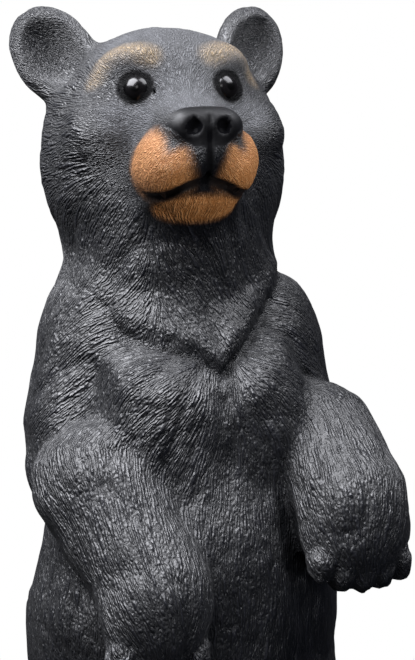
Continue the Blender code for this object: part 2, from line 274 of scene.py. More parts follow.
def muzzle_field(head):
    """Bridge, lip pads, chin, closed mouth, nose and nostrils, on points folded to one side."""
    muzzle = limb(head, (0, -34, -8), (0, -72, -20), 25, 17)
    muzzle = melt(muzzle, blob(head, (12.5, -60, -25.5), (16, 23, 18)), 4)
    muzzle = melt(muzzle, blob(head, (0, -52, -38.5), (22.5, 21.5, 10.8)), 2.5)
    muzzle = carve(muzzle, tube(head, MOUTH, 2.1), 1.6)
    nose = blob(head, (0, -80, -12.5), (14, 10.5, 9.5))
    nose = melt(nose, blob(head, (9, -79, -12.5), (8.5, 9.5, 8.5)), 4)
    nose = melt(nose, blob(head, (13, -73, -11), (6, 9, 5.5)), 3)
    nose = carve(nose, blob(head, (6.4, -90, -13.5), (2.9, 8, 3.5)), 1.4)
    muzzle = melt(muzzle, nose, 2)
    line = np.exp(-((head[:, 0] / 1.3) ** 2)) * rise(-head[:, 1], 68, 76)
    window = rise(head[:, 2], -38, -33) * (1 - rise(head[:, 2], -12, -6))
    return muzzle + 1.9 * line * window


def head_field(points):
    """Skull, cheeks, muzzle, brows, eyelids and ears."""
    head = mirrored(to_head(points))
    skull = blob(head, (0, 8, 4), (56, 53, 46))
    skull = melt(skull, blob(head, (27, 4, -20), (34, 41, 36)), 16)
    skull = melt(skull, blob(head, (0, -20, 18), (36, 28, 25)), 14)
    skull = melt(skull, blob(head, (35, -28, -6), (17, 17, 15)), 12)
    ear, cup = ear_field(head)
    skull = carve(melt(skull, ear, 7), cup, 4)
    skull = melt(skull, blob(head, (21, -34, 27), (14, 11, 7), turned(y=8, z=20)), 8)
    skull = melt(skull, muzzle_field(head), 9)
    lid = EYE_CENTRE - LID_BACK * unit(EYE_AIM)
    return melt(skull, blob(head, lid, (12.4, 9.8, 10.0), turned(y=10, z=22)), 3)


def figure_field(points):
    """The whole figure, less than 0 inside, in sculptor's millimetres."""
    body = torso_field(points)
    body = melt(body, leg_field(points), 12)
    body = melt(body, head_field(points), 14)
    for side in (-1, 1):
        body = melt(body, arm_field(points, side), 5)
    body = melt(body, blob(points, (0, 80, 130), (13, 14, 10)), 8)
    return np.maximum(body, -points[:, 2])


def slope_of(field, points, step=0.05):
    """The field's value and unit slope, from four samples at the corners of a tetrahedron."""
    corners = np.array(((1, 1, 1), (1, -1, -1), (-1, 1, -1), (-1, -1, 1)), float)
    samples = [field(points + step * corner) for corner in corners]
    slope = sum(sample[:, None] * corner for sample, corner in zip(samples, corners))
    return sum(samples) / len(samples), unit(slope)


def settle(field, points, rounds=6, share=0.8, most=3.0):
    """Points moved down the field's slope, a share of the way each round, to its surface."""
    for _ in range(rounds):
        value, slope = slope_of(field, points)
        points = points - np.clip(share * value, -most, most)[:, None] * slope
    return points


def noise_at(points, pitch):
    """Smooth noise from -1 to 1: a lattice of fixed random values, blended between its nodes."""
    cell = points / pitch
    low = np.floor(cell).astype(int)
    part = cell - low
    part = part * part * (3 - 2 * part)
    total = np.zeros(len(points))
    for corner in itertools.product((0, 1), repeat=3):
        share = np.prod(np.where(corner, part, 1 - part), axis=1)
        total += share * NOISE[tuple(((low + corner) % len(NOISE)).T)]
    return total


def trunk_way(points):
    """The way of the fur on the trunk. The ruff lies aslant and leaves both shoulders outwards. Under
    its tip the fur spreads like a fan, and on the belly it hangs straight down."""
    across = (points[:, 0] - RUFF_TIP[0])[:, None]
    lean = 0.5 - 1.4 * rise(-across, 22, 42) + 0.8 * rise(across, 20, 45)
    ruff = lean * (1, 0, 0) + (0, 0, -1)
    fan = unit((points - RUFF_TIP - (0, 0, 22)) * (1, 0, 1))
    hang = rise(-points[:, 2], -250, -185)[:, None]
    fan = (1 - hang) * fan + hang * (0, 0, -1)
    return np.where(ruff_height(points)[:, None] > 0, unit(ruff), unit(fan))


def fur_way(points, slope):
    """The way the fur lies at each point of the skin, as a unit vector along the skin."""
    local = to_head(points)
    head_way = unit(local - NOSE_TIP + (0, -12, 4))
    head_way = head_way - (0, 0, 1.2) * rise(-local[:, 2], 20, 60)[:, None]
    trunk = np.minimum(torso_field(points), leg_field(points))
    parts = [(head_field(points), unit(head_way @ HEAD_TURN.T)), (trunk, trunk_way(points))]
    for side in (-1, 1):
        elbow = np.array(ELBOWS[side], float) * (side, 1, 1)
        bone = unit(np.array(PAWS[side], float) * (side, 1, 1) - elbow)
        spread = unit(points - elbow - (0, 0, 34))
        lower = rise(elbow[2] + 22 - points[:, 2], -6, 6)[:, None]
        way = lower * (0.6 * bone + 0.4 * spread) + (1 - lower) * unit(np.array((1.4 * side, 0, -1)))
        parts.append((arm_field(points, side), unit(way)))
    way = sum(np.exp(-np.maximum(field, 0) / 4)[:, None] * part for field, part in parts)
    sway = np.stack([noise_at(points + 40 * axis, 26) for axis in (1, 2, 3)], axis=1)
    way = unit(way) + 0.2 * sway
    return unit(way - np.sum(way * slope, axis=1, keepdims=True) * slope)


def bare(points):
    """1 on smooth skin such as the nose, lips, eyelids and soles, and 0 in full fur."""
    head = mirrored(to_head(points))
    nose = 1 - rise(blob(head, (0, -80, -14), (19, 14, 13)), 0, 5)
    mouth = 1 - rise(tube(head, MOUTH, 3), 0, 4)
    lids = 1 - rise(np.linalg.norm(head - EYE_CENTRE, axis=1), 11, 16)
    soles = 1 - rise(points[:, 2], 2, 12)
    return np.maximum.reduce([nose, mouth, lids, soles])


def lock_relief(points, slope):
    """Height of the broad locks: noise smeared along the fur, folded at zero into creases."""
    way = fur_way(points, slope)
    steps = np.linspace(-LOCK_REACH, LOCK_REACH, 9)
    smeared = sum(noise_at(points + step * way, LOCK_WIDTH) for step in steps) / len(steps)
    ridge = np.minimum(np.abs(smeared) * 3.2, 1)
    on_head = 1 - 0.5 * rise(points[:, 2], 345, 375)
    return LOCK_DEPTH * (ridge - 0.5) * on_head * (1 - bare(points))


def rough_skin(field, low, high, step):
    """A coarse closed skin: one point for each crossed cell, one face for each crossed edge."""
    sizes = [int((top - bottom) / step) + 2 for bottom, top in zip(low, high)]
    places = np.stack(np.meshgrid(*[np.arange(size) for size in sizes], indexing="ij"), -1)
    places = places.reshape(-1, 3) * step + np.array(low)
    inside = (field(places) < 0).reshape(sizes)
    numbers = np.full(sizes, -1)
    cells = [slice(0, -1)] * 3
    count = sum(
        inside[tuple(slice(c, size - 1 + c) for c, size in zip(corner, sizes))].astype(int)
        for corner in itertools.product((0, 1), repeat=3)
    )
    crossed = (count > 0) & (count < 8)
    numbers[tuple(cells)][crossed] = np.arange(crossed.sum())
    points = (np.argwhere(crossed) + 0.5) * step + np.array(low)
    faces = []
    for axis in range(3):
        second, third = (axis + 1) % 3, (axis + 2) % 3
        ahead = np.roll(inside, -1, axis)
        around = [
            numbers,
            np.roll(numbers, 1, second),
            np.roll(np.roll(numbers, 1, second), 1, third),
            np.roll(numbers, 1, third),
        ]
        for start, order in ((inside & ~ahead, (2, 3, 0, 1)), (ahead & ~inside, (1, 0, 3, 2))):
            faces.append(np.stack([around[turn][start] for turn in order], axis=1))
    return points, np.concatenate(faces)


def evaluated_arrays(obj):
    """Points and triangles of an object with its modifiers."""
    bpy.context.view_layer.update()
    graph = bpy.context.evaluated_depsgraph_get()
    evaluated = obj.evaluated_get(graph)
    mesh = evaluated.to_mesh()
    mesh.calc_loop_triangles()
    points = np.empty(len(mesh.vertices) * 3)
    faces = np.empty(len(mesh.loop_triangles) * 3, np.int32)
    mesh.vertices.foreach_get("co", points)
    mesh.loop_triangles.foreach_get("vertices", faces)
    evaluated.to_mesh_clear()
    return points.reshape(-1, 3), faces.reshape(-1, 3)


def remeshed(mesh, voxel):
    """Points and triangles of a mesh after a voxel remesh."""
    helper = bpy.data.objects.new("remesh_helper", mesh)
    bpy.context.scene.collection.objects.link(helper)
    remesh = helper.modifiers.new("one_skin", "REMESH")
    remesh.mode = "VOXEL"
    remesh.voxel_size = voxel
    points, faces = evaluated_arrays(helper)
    bpy.data.objects.remove(helper)
    return points, faces


def mesh_from(name, points, faces):
    """A mesh made of arrays of points and faces."""
    mesh = bpy.data.meshes.new(name)
    mesh.from_pydata(points.tolist(), [], faces.tolist())
    mesh.validate()
    return mesh


def linear(code):
    """An sRGB hex colour as linear red, green and blue: each channel is undone from its curve."""
    channels = [int(code[place : place + 2], 16) / 255 for place in (1, 3, 5)]
    return tuple(c / 12.92 if c <= 0.04045 else ((c + 0.055) / 1.055) ** 2.4 for c in channels)


def add_node(tree, kind, inputs=None, **settings):
    """One node of a kind, with its settings, and its inputs set to values or linked to sockets."""
    made = tree.nodes.new(kind)
    for name, value in settings.items():
        setattr(made, name, value)
    for key, value in (inputs or {}).items():
        if isinstance(value, bpy.types.NodeSocket):
            tree.links.new(value, made.inputs[key])
        else:
            made.inputs[key].default_value = value
    return made


def new_material(name):
    """An empty node material, and its tree and Principled shader."""
    made = bpy.data.materials.new(name)
    made.use_nodes = True
    tree = made.node_tree
    return made, tree, tree.nodes["Principled BSDF"]


def measure(name, text, default, low, high):
    """A length property in metres."""
    return FloatProperty(
        name=name, description=text, default=default, min=low, max=high, unit="LENGTH", precision=5
    )


def colour(name, text, code):
    """A colour property, given as an sRGB hex code."""
    return FloatVectorProperty(
        name=name, description=text, default=linear(code), min=0, max=1, size=3, subtype="COLOR"
    )


def ring_field(head, centre, aim, radius, thick):
    """Distance to a ring about an axis: its distance from the circle, less the ring's thickness."""
    local = head - centre
    along = local @ aim
    out = np.linalg.norm(local - along[:, None] * aim, axis=1)
    return np.hypot(out - radius, along) - thick


def fine_field(points):
    """The figure with the small forms of the eyes: rims, upper folds and corners of the lids."""
    body = figure_field(points)
    near = points[:, 2] > 340
    local = mirrored(to_head(points[near]))
    aim = unit(EYE_AIM)
    rim_centre = EYE_CENTRE + RIM_OUT * aim
    face = body[near]
    face = melt(face, ring_field(local, rim_centre, aim, RIM_RADIUS, RIM_THICK), 1.2)
    fold = ring_field(local, EYE_CENTRE + (0.4, 1.2, 2.4), aim, FOLD_RADIUS, 0.9)
    upper = rise(local[:, 2] - EYE_CENTRE[2], 0, 4)
    face = carve(face, fold + 4 * (1 - upper), 1.2)
    inner = tube(local, ((14.2, -46, 10.6), (10.4, -47.5, 7.6), (9.6, -50, 4.5)), 0.5)
    outer = tube(local, ((28, -40, 11.5), (32, -36, 9.0), (34, -33, 8.4)), 0.5)
    face = carve(face, np.minimum(inner, outer), 1.4)
    body[near] = face
    return body


def strand_relief(points, way, look):
    """Height from 0 to 1 of fine strands: noise smeared along the fur, folded at zero."""
    steps = np.linspace(-1, 1, STRAND_TAPS) * look.strand_reach / MM
    width = look.strand_width / MM
    smeared = sum(noise_at(points + step * way, width) for step in steps) / STRAND_TAPS
    return np.minimum(np.abs(smeared) * STRAND_GAIN, 1) ** 0.8


def lay(points, look):
    """Slopes, way of the fur, height of its strands and depth of the hollows at the skin's points."""
    slope = slope_of(fine_field, points)[1]
    way = fur_way(points, slope)
    hollow = 1 - np.clip(fine_field(points + HOLLOW_REACH * slope) / HOLLOW_REACH, 0, 1)
    return slope, way, strand_relief(points, way, look), hollow


def skin_arrays(look):
    """The carved skin in millimetres, thinned to its triangles."""
    points, faces = rough_skin(fine_field, (-100, -104, -8), (100, 104, 484), ROUGH_STEP)
    points = settle(fine_field, points)
    points, faces = remeshed(mesh_from("settled", points, faces), look.voxel / MM)
    points = settle(fine_field, points, rounds=4)
    slope, way, strand, hollow = lay(points, look)
    carved = look.strand_depth / MM * (strand - 0.6) * strand_share(points)
    points = points + (lock_relief(points, slope) + carved)[:, None] * slope
    return thin_arrays(points, faces, look.triangles, fine_share(points))


def short_haired(points):
    """1 on the front of the head and the ears, where the hair is short and fine, 0 on the body."""
    head = mirrored(to_head(points))
    face = 1 - rise(blob(head, (0, -48, 0), (40, 44, 40)), 0, 16)
    return np.maximum(face, rise(head[:, 0], 34, 42) * rise(head[:, 2], 24, 34))


def strand_share(points):
    """How deep the strands are carved: deepest on the belly and flanks, shallow on the chest and
    forelegs, and hardly at all on the face."""
    arms = np.minimum(arm_field(points, 1), arm_field(points, -1))
    trunk = (1 - rise(points[:, 2], 225, 285)) * rise(arms, 0, 6)
    return (0.8 + trunk) * (1 - 0.75 * short_haired(points)) * (1 - bare(points))


def face_paint(points):
    """Strength of each paint of the face, from 0 to 1, by name. The lids include a painted shade
    along the upper fold, and the grey is partly a painted highlight.
    """
    head = mirrored(to_head(points))
    pads = 1 - rise(blob(head, (14.5, -63, -26), (17, 25, 17)), -3.5, 2.5)
    pads *= rise(-head[:, 1], 38, 50) * rise(head[:, 0], 0.6, 3.6)
    under_nose = rise(head[:, 2] + 0.45 * head[:, 0], -18.5, -13) * (1 - rise(head[:, 0], 15, 21))
    pads *= 1 - under_nose
    chin = 1 - rise(blob(head, (0, -60, -45.8), (22, 18, 5.8)), -2.5, 2.5)
    brow_path = ((15, -46, 28), (21, -43, 30.4), (27, -38, 30), (33, -33, 25.5), (36, -28, 17))
    brow = 1 - rise(tube(head, brow_path, 4.8), -3.6, 4)
    nose = 1 - rise(blob(head, (0, -80, -13.5), (18, 12.5, 12.5)), -1.0, 1.0)
    nose *= 1 - rise(head[:, 0] - 1.05 * head[:, 2] - 30.5, -1.2, 1.2)
    line = (1 - rise(head[:, 0], 0.8, 3.2)) * rise(-head[:, 1], 66, 72)
    nose = np.maximum(nose, line * rise(head[:, 2], -40, -36) * (1 - rise(head[:, 2], -16, -12)))
    lips = 1 - rise(tube(head, MOUTH, 2.0), -0.6, 2.6)
    aim = unit(EYE_AIM)
    from_eye = (head - EYE_CENTRE - 2.0 * aim - (0, 0, 0.5)) / (1.12, 1.0, 1.0)
    lids = 1 - rise(np.linalg.norm(from_eye, axis=1), 8.0, 9.6)
    # A dark line along the upper lid's fold, added to the lids: painted shade of the carved fold.
    fold = ring_field(head, EYE_CENTRE + (0.4, 1.2, 2.6), aim, FOLD_RADIUS + 0.4, 0.3)
    fold = (1 - rise(fold, 0, 1.0)) * rise(head[:, 2] - EYE_CENTRE[2], 0, 4)
    lids = np.maximum(lids, 0.75 * fold)
    # Grey dry-brush under the eyes, on the bridge and on the crown. On these up-facing places it is
    # also a painted highlight.
    ash_and_highlight = 1 - rise(blob(head, (24, -42, -3), (14, 14, 9)), -3, 8)
    bridge = 1 - rise(blob(head, (0, -50, 6), (13, 32, 16)), -2, 8)
    crown = 0.8 * (1 - rise(blob(head, (0, -30, 36), (30, 24, 18)), -2, 16))
    ash_and_highlight = np.maximum.reduce([ash_and_highlight, bridge, crown]) * (1 - lids) * (1 - nose)
    tan = np.maximum(pads, chin) * (1 - nose) * (1 - lips)
    brow *= 1 - lids
    return {"tan": tan, "brow": brow, "nose": nose, "lips": lips, "lids": lids, "ash_and_highlight": ash_and_highlight}


def store(mesh, name, values):
    """A point attribute of the mesh: a number or a vector for each point."""
    vector = values.ndim == 2
    layer = mesh.attributes.new(name, "FLOAT_VECTOR" if vector else "FLOAT", "POINT")
    layer.data.foreach_set("vector" if vector else "value", values.astype(np.float32).ravel())


def thin_arrays(points, faces, goal, share):
    """The mesh thinned to a number of triangles, the fewest where share is 0."""
    helper = bpy.data.objects.new("thin_helper", mesh_from("thin_helper", points, faces))
    bpy.context.scene.collection.objects.link(helper)
    plain = helper.vertex_groups.new(name="plain")
    level = (share * 4).round()
    for step in range(5):
        plain.add(np.flatnonzero(level == step).tolist(), 1 - step / 8, "REPLACE")
    thin = helper.modifiers.new("thin", "DECIMATE")
    thin.ratio = min(1.0, goal / len(faces))
    thin.vertex_group = plain.name
    thin.vertex_group_factor = FINE_FACTOR
    thinned = evaluated_arrays(helper)
    bpy.data.objects.remove(helper)
    return thinned


def fine_share(points):
    """1 on the face and 0.5 on the front of the figure, where the small carving shows most."""
    head = mirrored(to_head(points))
    muzzle = 1 - rise(blob(head, (0, -62, -24), (32, 32, 34)), 0, 10)
    lids = 1 - rise(np.linalg.norm(head - EYE_CENTRE, axis=1), 14, 22)
    front = 0.5 * (1 - rise(points[:, 1], -20, 20)) * rise(points[:, 2], 120, 180)
    return np.maximum.reduce([muzzle, lids, front])


def attribute(tree, name, output="Fac"):
    """The socket of a stored attribute."""
    return add_node(tree, "ShaderNodeAttribute", attribute_name=name).outputs[output]


def maths(tree, operation, first, second=0.0, third=0.0, clamp=False):
    """One Math node's value."""
    made = add_node(
        tree, "ShaderNodeMath", {0: first, 1: second, 2: third}, operation=operation, use_clamp=clamp
    )
    return made.outputs[0]


def between(tree, value, low, high, start=0.0, end=1.0):
    """A value mapped smoothly from one range to another."""
    made = add_node(
        tree,
        "ShaderNodeMapRange",
        {"Value": value, "From Min": low, "From Max": high, "To Min": start, "To Max": end},
        interpolation_type="SMOOTHSTEP",
    )
    return made.outputs["Result"]


def blended(tree, share, first, second):
    """Two colours mixed by a share."""
    made = add_node(tree, "ShaderNodeMix", {"Factor": share}, data_type="RGBA")
    for key, value in ((6, first), (7, second)):
        if isinstance(value, bpy.types.NodeSocket):
            tree.links.new(value, made.inputs[key])
        else:
            made.inputs[key].default_value = (*value, 1)
    return made.outputs[2]


def hair_height(tree, pitch, reach, taps):
    """Height of the carved hairs: noise summed at steps along the fur's way, and its distance from
    the middle value, so that creases run where the sum crosses it. One noise cell spans two hairs.
    """
    place = add_node(tree, "ShaderNodeTexCoord").outputs["Object"]
    way = attribute(tree, "fur_way", "Vector")
    total = 0.0
    for step in np.linspace(-reach, reach, taps):
        moved = add_node(
            tree, "ShaderNodeVectorMath", {0: way, 1: (step,) * 3, 2: place}, operation="MULTIPLY_ADD"
        )
        noise = add_node(
            tree,
            "ShaderNodeTexNoise",
            {"Vector": moved.outputs[0], "Scale": 0.5 / pitch, "Detail": 0.0},
        )
        total = maths(tree, "ADD", noise.outputs[0], total)
    centred = maths(tree, "MULTIPLY_ADD", total, 1 / taps, -0.5)
    return maths(tree, "MULTIPLY", maths(tree, "ABSOLUTE", centred), HAIR_GAIN, clamp=True)


def fur_material(look):
    """Cast polyresin, carved before moulding and sprayed in semi-gloss charcoal enamel, with tan
    and grey dry-brushed on the face. The paint stays glossy on the hairs and matt in the hollows.
    Shade is painted into the colour: near-black in the creases between the hairs and in the
    hollows. The grey on the up-facing head is also a painted highlight."""
    made, tree, shader = new_material("semi_gloss_enamel_on_carved_resin")
    short = attribute(tree, "short")
    long_hair = hair_height(tree, look.hair_pitch, look.hair_reach, HAIR_TAPS)
    pitch, reach = SHORT_SHARE * look.hair_pitch, SHORT_SHARE**2 * look.hair_reach
    fine_hair = hair_height(tree, pitch, reach, FINE_TAPS)
    hair = add_node(tree, "ShaderNodeMix", {"Factor": short, "A": long_hair, "B": fine_hair})
    hair = hair.outputs[0]
    strand, hollow, tan, brow, nose, lips, lids, ash_and_highlight = (
        attribute(tree, name)
        for name in ("strand", "hollow", "tan", "brow", "nose", "lips", "lids", "ash_and_highlight")
    )

    # Charcoal on the hairs over near-black in the creases between them, which is painted shade of
    # the carved hairs, and the tan likewise darker in its grooves. Then ash grey, also a painted
    # highlight on the up-facing head, and tan and straw caught on the hairs.
    ridge = maths(tree, "MULTIPLY_ADD", hair, 0.75, maths(tree, "MULTIPLY", strand, 0.25))
    black = blended(tree, between(tree, ridge, 0.15, 0.9), linear("#06070a"), tuple(look.fur))
    grey = maths(tree, "MULTIPLY", ash_and_highlight, between(tree, ridge, 0.0, 0.7, 0.35, 0.95))
    black = blended(tree, grey, black, tuple(look.ash_and_highlight))
    tan_tone = blended(tree, between(tree, hair, 0.0, 0.8), linear("#85552c"), tuple(look.tan))
    edge = maths(tree, "MULTIPLY", tan, maths(tree, "SUBTRACT", 1.0, tan))
    edge = maths(tree, "MULTIPLY", edge, 1.6)
    feather = maths(tree, "MULTIPLY_ADD", edge, maths(tree, "SUBTRACT", ridge, 0.5), tan, clamp=True)
    coat = blended(tree, feather, black, tan_tone)
    straw = maths(tree, "MULTIPLY", brow, between(tree, hair, 0.1, 0.9, 0.3, 0.85))
    coat = blended(tree, straw, coat, tuple(look.brow))
    # Painted shade: near-black laid into the hollows, least of all in the tan. Then the black nose,
    # lips and lids on top, the lids with a painted shade along their upper fold.
    deep = between(tree, hollow, 0.25, 0.95, 0.0, 0.8)
    painted_shade = maths(tree, "MULTIPLY", deep, maths(tree, "MULTIPLY_ADD", tan, -0.85, 1.0))
    coat = blended(tree, painted_shade, coat, linear("#050608"))
    coat = blended(tree, nose, coat, linear("#0a0a0c"))
    coat = blended(tree, maths(tree, "MAXIMUM", lips, lids), coat, linear("#070708"))
    tree.links.new(coat, shader.inputs["Base Color"])

    # Semi-gloss on the hairs, glossier on the lips, dull where paint was dry-brushed or is deep.
    dull = maths(tree, "MAXIMUM", maths(tree, "MAXIMUM", tan, ash_and_highlight), lids)
    worn = between(tree, ridge, 0.2, 0.9, 0.56, 0.43)
    worn = maths(tree, "MULTIPLY_ADD", lips, -0.2, worn)
    worn = maths(tree, "MULTIPLY_ADD", hollow, 0.2, worn)
    rough = maths(tree, "MULTIPLY_ADD", dull, 0.18, worn)
    tree.links.new(rough, shader.inputs["Roughness"])
    shader.inputs["IOR"].default_value = 1.5
    gloss = maths(tree, "MULTIPLY_ADD", dull, -0.4, between(tree, hollow, 0.25, 0.9, 0.9, 0.15))
    gloss = maths(tree, "MULTIPLY_ADD", nose, -0.7, gloss)
    gloss = maths(tree, "MULTIPLY_ADD", lids, -0.4, gloss, clamp=True)
    tree.links.new(gloss, shader.inputs["Specular IOR Level"])

    # No hairs on the nose and lips, and shallow ones on the lids, the tan and the short coat.
    soft_lids = maths(tree, "MULTIPLY", lids, 0.4)
    soft = maths(tree, "MAXIMUM", soft_lids, maths(tree, "MULTIPLY", tan, 0.15))
    bald = maths(tree, "MAXIMUM", nose, maths(tree, "MAXIMUM", lips, soft))
    full = maths(tree, "MULTIPLY_ADD", short, -0.2, 1.0)
    fur_height = maths(tree, "MULTIPLY", hair, maths(tree, "SUBTRACT", full, bald, clamp=True))
    place = add_node(tree, "ShaderNodeTexCoord").outputs["Object"]
    grit = add_node(tree, "ShaderNodeTexNoise", {"Vector": place, "Scale": GRIT_SCALE})
    height = maths(tree, "MULTIPLY_ADD", grit.outputs[0], 0.03, fur_height)
    bump = add_node(
        tree, "ShaderNodeBump", {"Height": height, "Strength": 1.0, "Distance": look.hair_depth}
    )
    tree.links.new(bump.outputs[0], shader.inputs["Normal"])
    return made


class BearLook(bpy.types.PropertyGroup):
    """Sizes and colours of the bear's skin."""

    voxel: measure("Skin grid", "Grid that the fine skin is worked out on", 0.00115, 0.0008, 0.004)
    strand_width: measure("Strand width", "Width of the noise behind a strand", 0.0040, 0.002, 0.02)
    strand_depth: measure("Strand depth", "Depth of the carving between strands", 0.0004, 0, 0.003)
    strand_reach: measure("Strand length", "Half the length of a strand", 0.009, 0.002, 0.03)
    hair_pitch: measure("Hair pitch", "Distance between the finest hairs", 0.00068, 0.0003, 0.01)
    hair_depth: measure("Hair depth", "Depth of the finest carved hairs", 0.0009, 0, 0.002)
    hair_reach: measure("Hair length", "Half the length of a carved hair", 0.0040, 0.001, 0.02)
    triangles: IntProperty(name="Triangles", description="Most triangles in the skin", default=195000)
    fur: colour("Fur", "Charcoal enamel on the raised hairs", "#131419")
    # Grey dry-brush on the face, also laid on the up-facing crown and under the eyes as a painted
    # highlight.
    ash_and_highlight: colour("Ash", "Ash grey dry-brushed on the forehead and nose bridge", "#535457")
    tan: colour("Tan", "Tan paint of the muzzle and chin", "#a8774b")
    brow: colour("Brow", "Dull straw paint of the brows", "#8f7a5b")


class EyeLook(bpy.types.PropertyGroup):
    """Colours of the eyes."""

    iris: colour("Iris", "Near-black of the iris", "#0b0a0b")
    pupil: colour("Pupil", "Black of the pupil and rim", "#030303")


class BaseLook(bpy.types.PropertyGroup):
    """Sizes and colours of the base."""

    relief: measure("Relief", "Depth of the modelled earth", 0.0022, 0, 0.006)
    earth: colour("Earth", "Dark grey-brown of the painted earth", "#3a352f")
    dust: colour("Dust", "Pale dry-brushed high spots", "#7d7468")


class StageLook(bpy.types.PropertyGroup):
    """Light and camera."""

    distance: measure("Camera distance", "From the camera to the figure's middle", 0.65, 0.3, 3)
    span: measure("Picture height", "Height of the picture at the figure", 0.33, 0.1, 2)
    key: FloatProperty(
        name="Key light", description="Power of the main light", default=48.0, unit="POWER"
    )
    sky: FloatProperty(name="Sky", description="Strength of the light all around", default=0.04)


class STATUE_OT_bear(bpy.types.Operator):
    """Make the carved and painted skin of the bear"""

    bl_idname = "statue.bear"
    bl_label = "Bear"

    def execute(self, context):
        look = context.scene.statue_bear
        points, faces = skin_arrays(look)
        mesh = mesh_from("bear_skin", points * MM + (0, 0, SOLE), faces)
        _, way, strand, hollow = lay(settle(fine_field, points, rounds=2), look)
        layers = {"fur_way": way, "strand": strand, "hollow": hollow}
        layers |= {"short": short_haired(points)} | face_paint(points)
        for name, values in layers.items():
            store(mesh, name, values)
        mesh.shade_smooth()
        mesh.materials.append(fur_material(look))
        skin = bpy.data.objects.new("bear_skin", mesh)
        context.scene.collection.objects.link(skin)
        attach(skin, "root")
        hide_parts("bear")
        return {"FINISHED"}


def eye_arrays(centre, radius, aim):
    """A ball as rings about its aim: angle from the aim by angle around it, with closed poles."""
    rings, spokes = EYE_RINGS, EYE_SPOKES
    side = unit(np.cross(aim, (0, 0, 1)))
    up = np.cross(side, aim)
    tilt = np.linspace(0, math.pi, rings + 1)[1:-1]
    turn = np.linspace(0, 2 * math.pi, spokes, endpoint=False)
    across = np.sin(tilt)[:, None, None] * (
        np.cos(turn)[None, :, None] * side + np.sin(turn)[None, :, None] * up
    )
    shell = (across + np.cos(tilt)[:, None, None] * aim).reshape(-1, 3)
    points = np.concatenate([[aim], shell, [-aim]]) * radius + centre
    row = 1 + np.arange(rings - 1)[:, None] * spokes + np.arange(spokes)
    ahead = np.roll(row, -1, axis=1)
    bands = np.stack([row[:-1], ahead[:-1], ahead[1:], row[1:]], axis=-1).reshape(-1, 4)
    caps = [(0, b, a) for a, b in zip(row[0], ahead[0])]
    caps += [(len(points) - 1, a, b) for a, b in zip(row[-1], ahead[-1])]
    angle = np.concatenate([[0], np.repeat(tilt, spokes), [math.pi]])
    return points, bands.tolist() + [tuple(int(i) for i in cap) for cap in caps], angle


def eye_material(look):
    """Polished black acrylic, lightly worn, with a ring of near-black iris 17 to 40 degrees from
    the aim. It shows a soft highlight of each light."""
    made, tree, shader = new_material("polished_black_acrylic")
    angle = attribute(tree, "eye_angle")
    outer = between(tree, angle, 0.62, 0.78, 1.0, 0.0)
    iris = maths(tree, "MULTIPLY", between(tree, angle, 0.26, 0.34), outer)
    tone = blended(tree, iris, tuple(look.pupil), tuple(look.iris))
    tree.links.new(tone, shader.inputs["Base Color"])
    shader.inputs["Roughness"].default_value = 0.2
    shader.inputs["IOR"].default_value = 1.42
    return made


class STATUE_OT_eyes(bpy.types.Operator):
    """Make the two polished eyes in their sockets"""

    bl_idname = "statue.eyes"
    bl_label = "Eyes"

    def execute(self, context):
        finish = eye_material(context.scene.statue_eyes)
        for word, side in (("left", 1), ("right", -1)):
            low, high = (np.array(corner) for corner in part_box(f"eye_{word}"))
            aim = HEAD_TURN @ (unit(EYE_AIM) * (side, 1, 1))
            points, faces, angle = eye_arrays((low + high) / 2, (high - low).max() / 2, aim)
            mesh = bpy.data.meshes.new(f"eye_ball_{word}")
            mesh.from_pydata(points.tolist(), [], faces)
            store(mesh, "eye_angle", angle)
            mesh.shade_smooth()
            mesh.materials.append(finish)
            eye = bpy.data.objects.new(f"eye_ball_{word}", mesh)
            context.scene.collection.objects.link(eye)
            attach(eye, "root")
            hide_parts(f"eye_{word}")
        return {"FINISHED"}


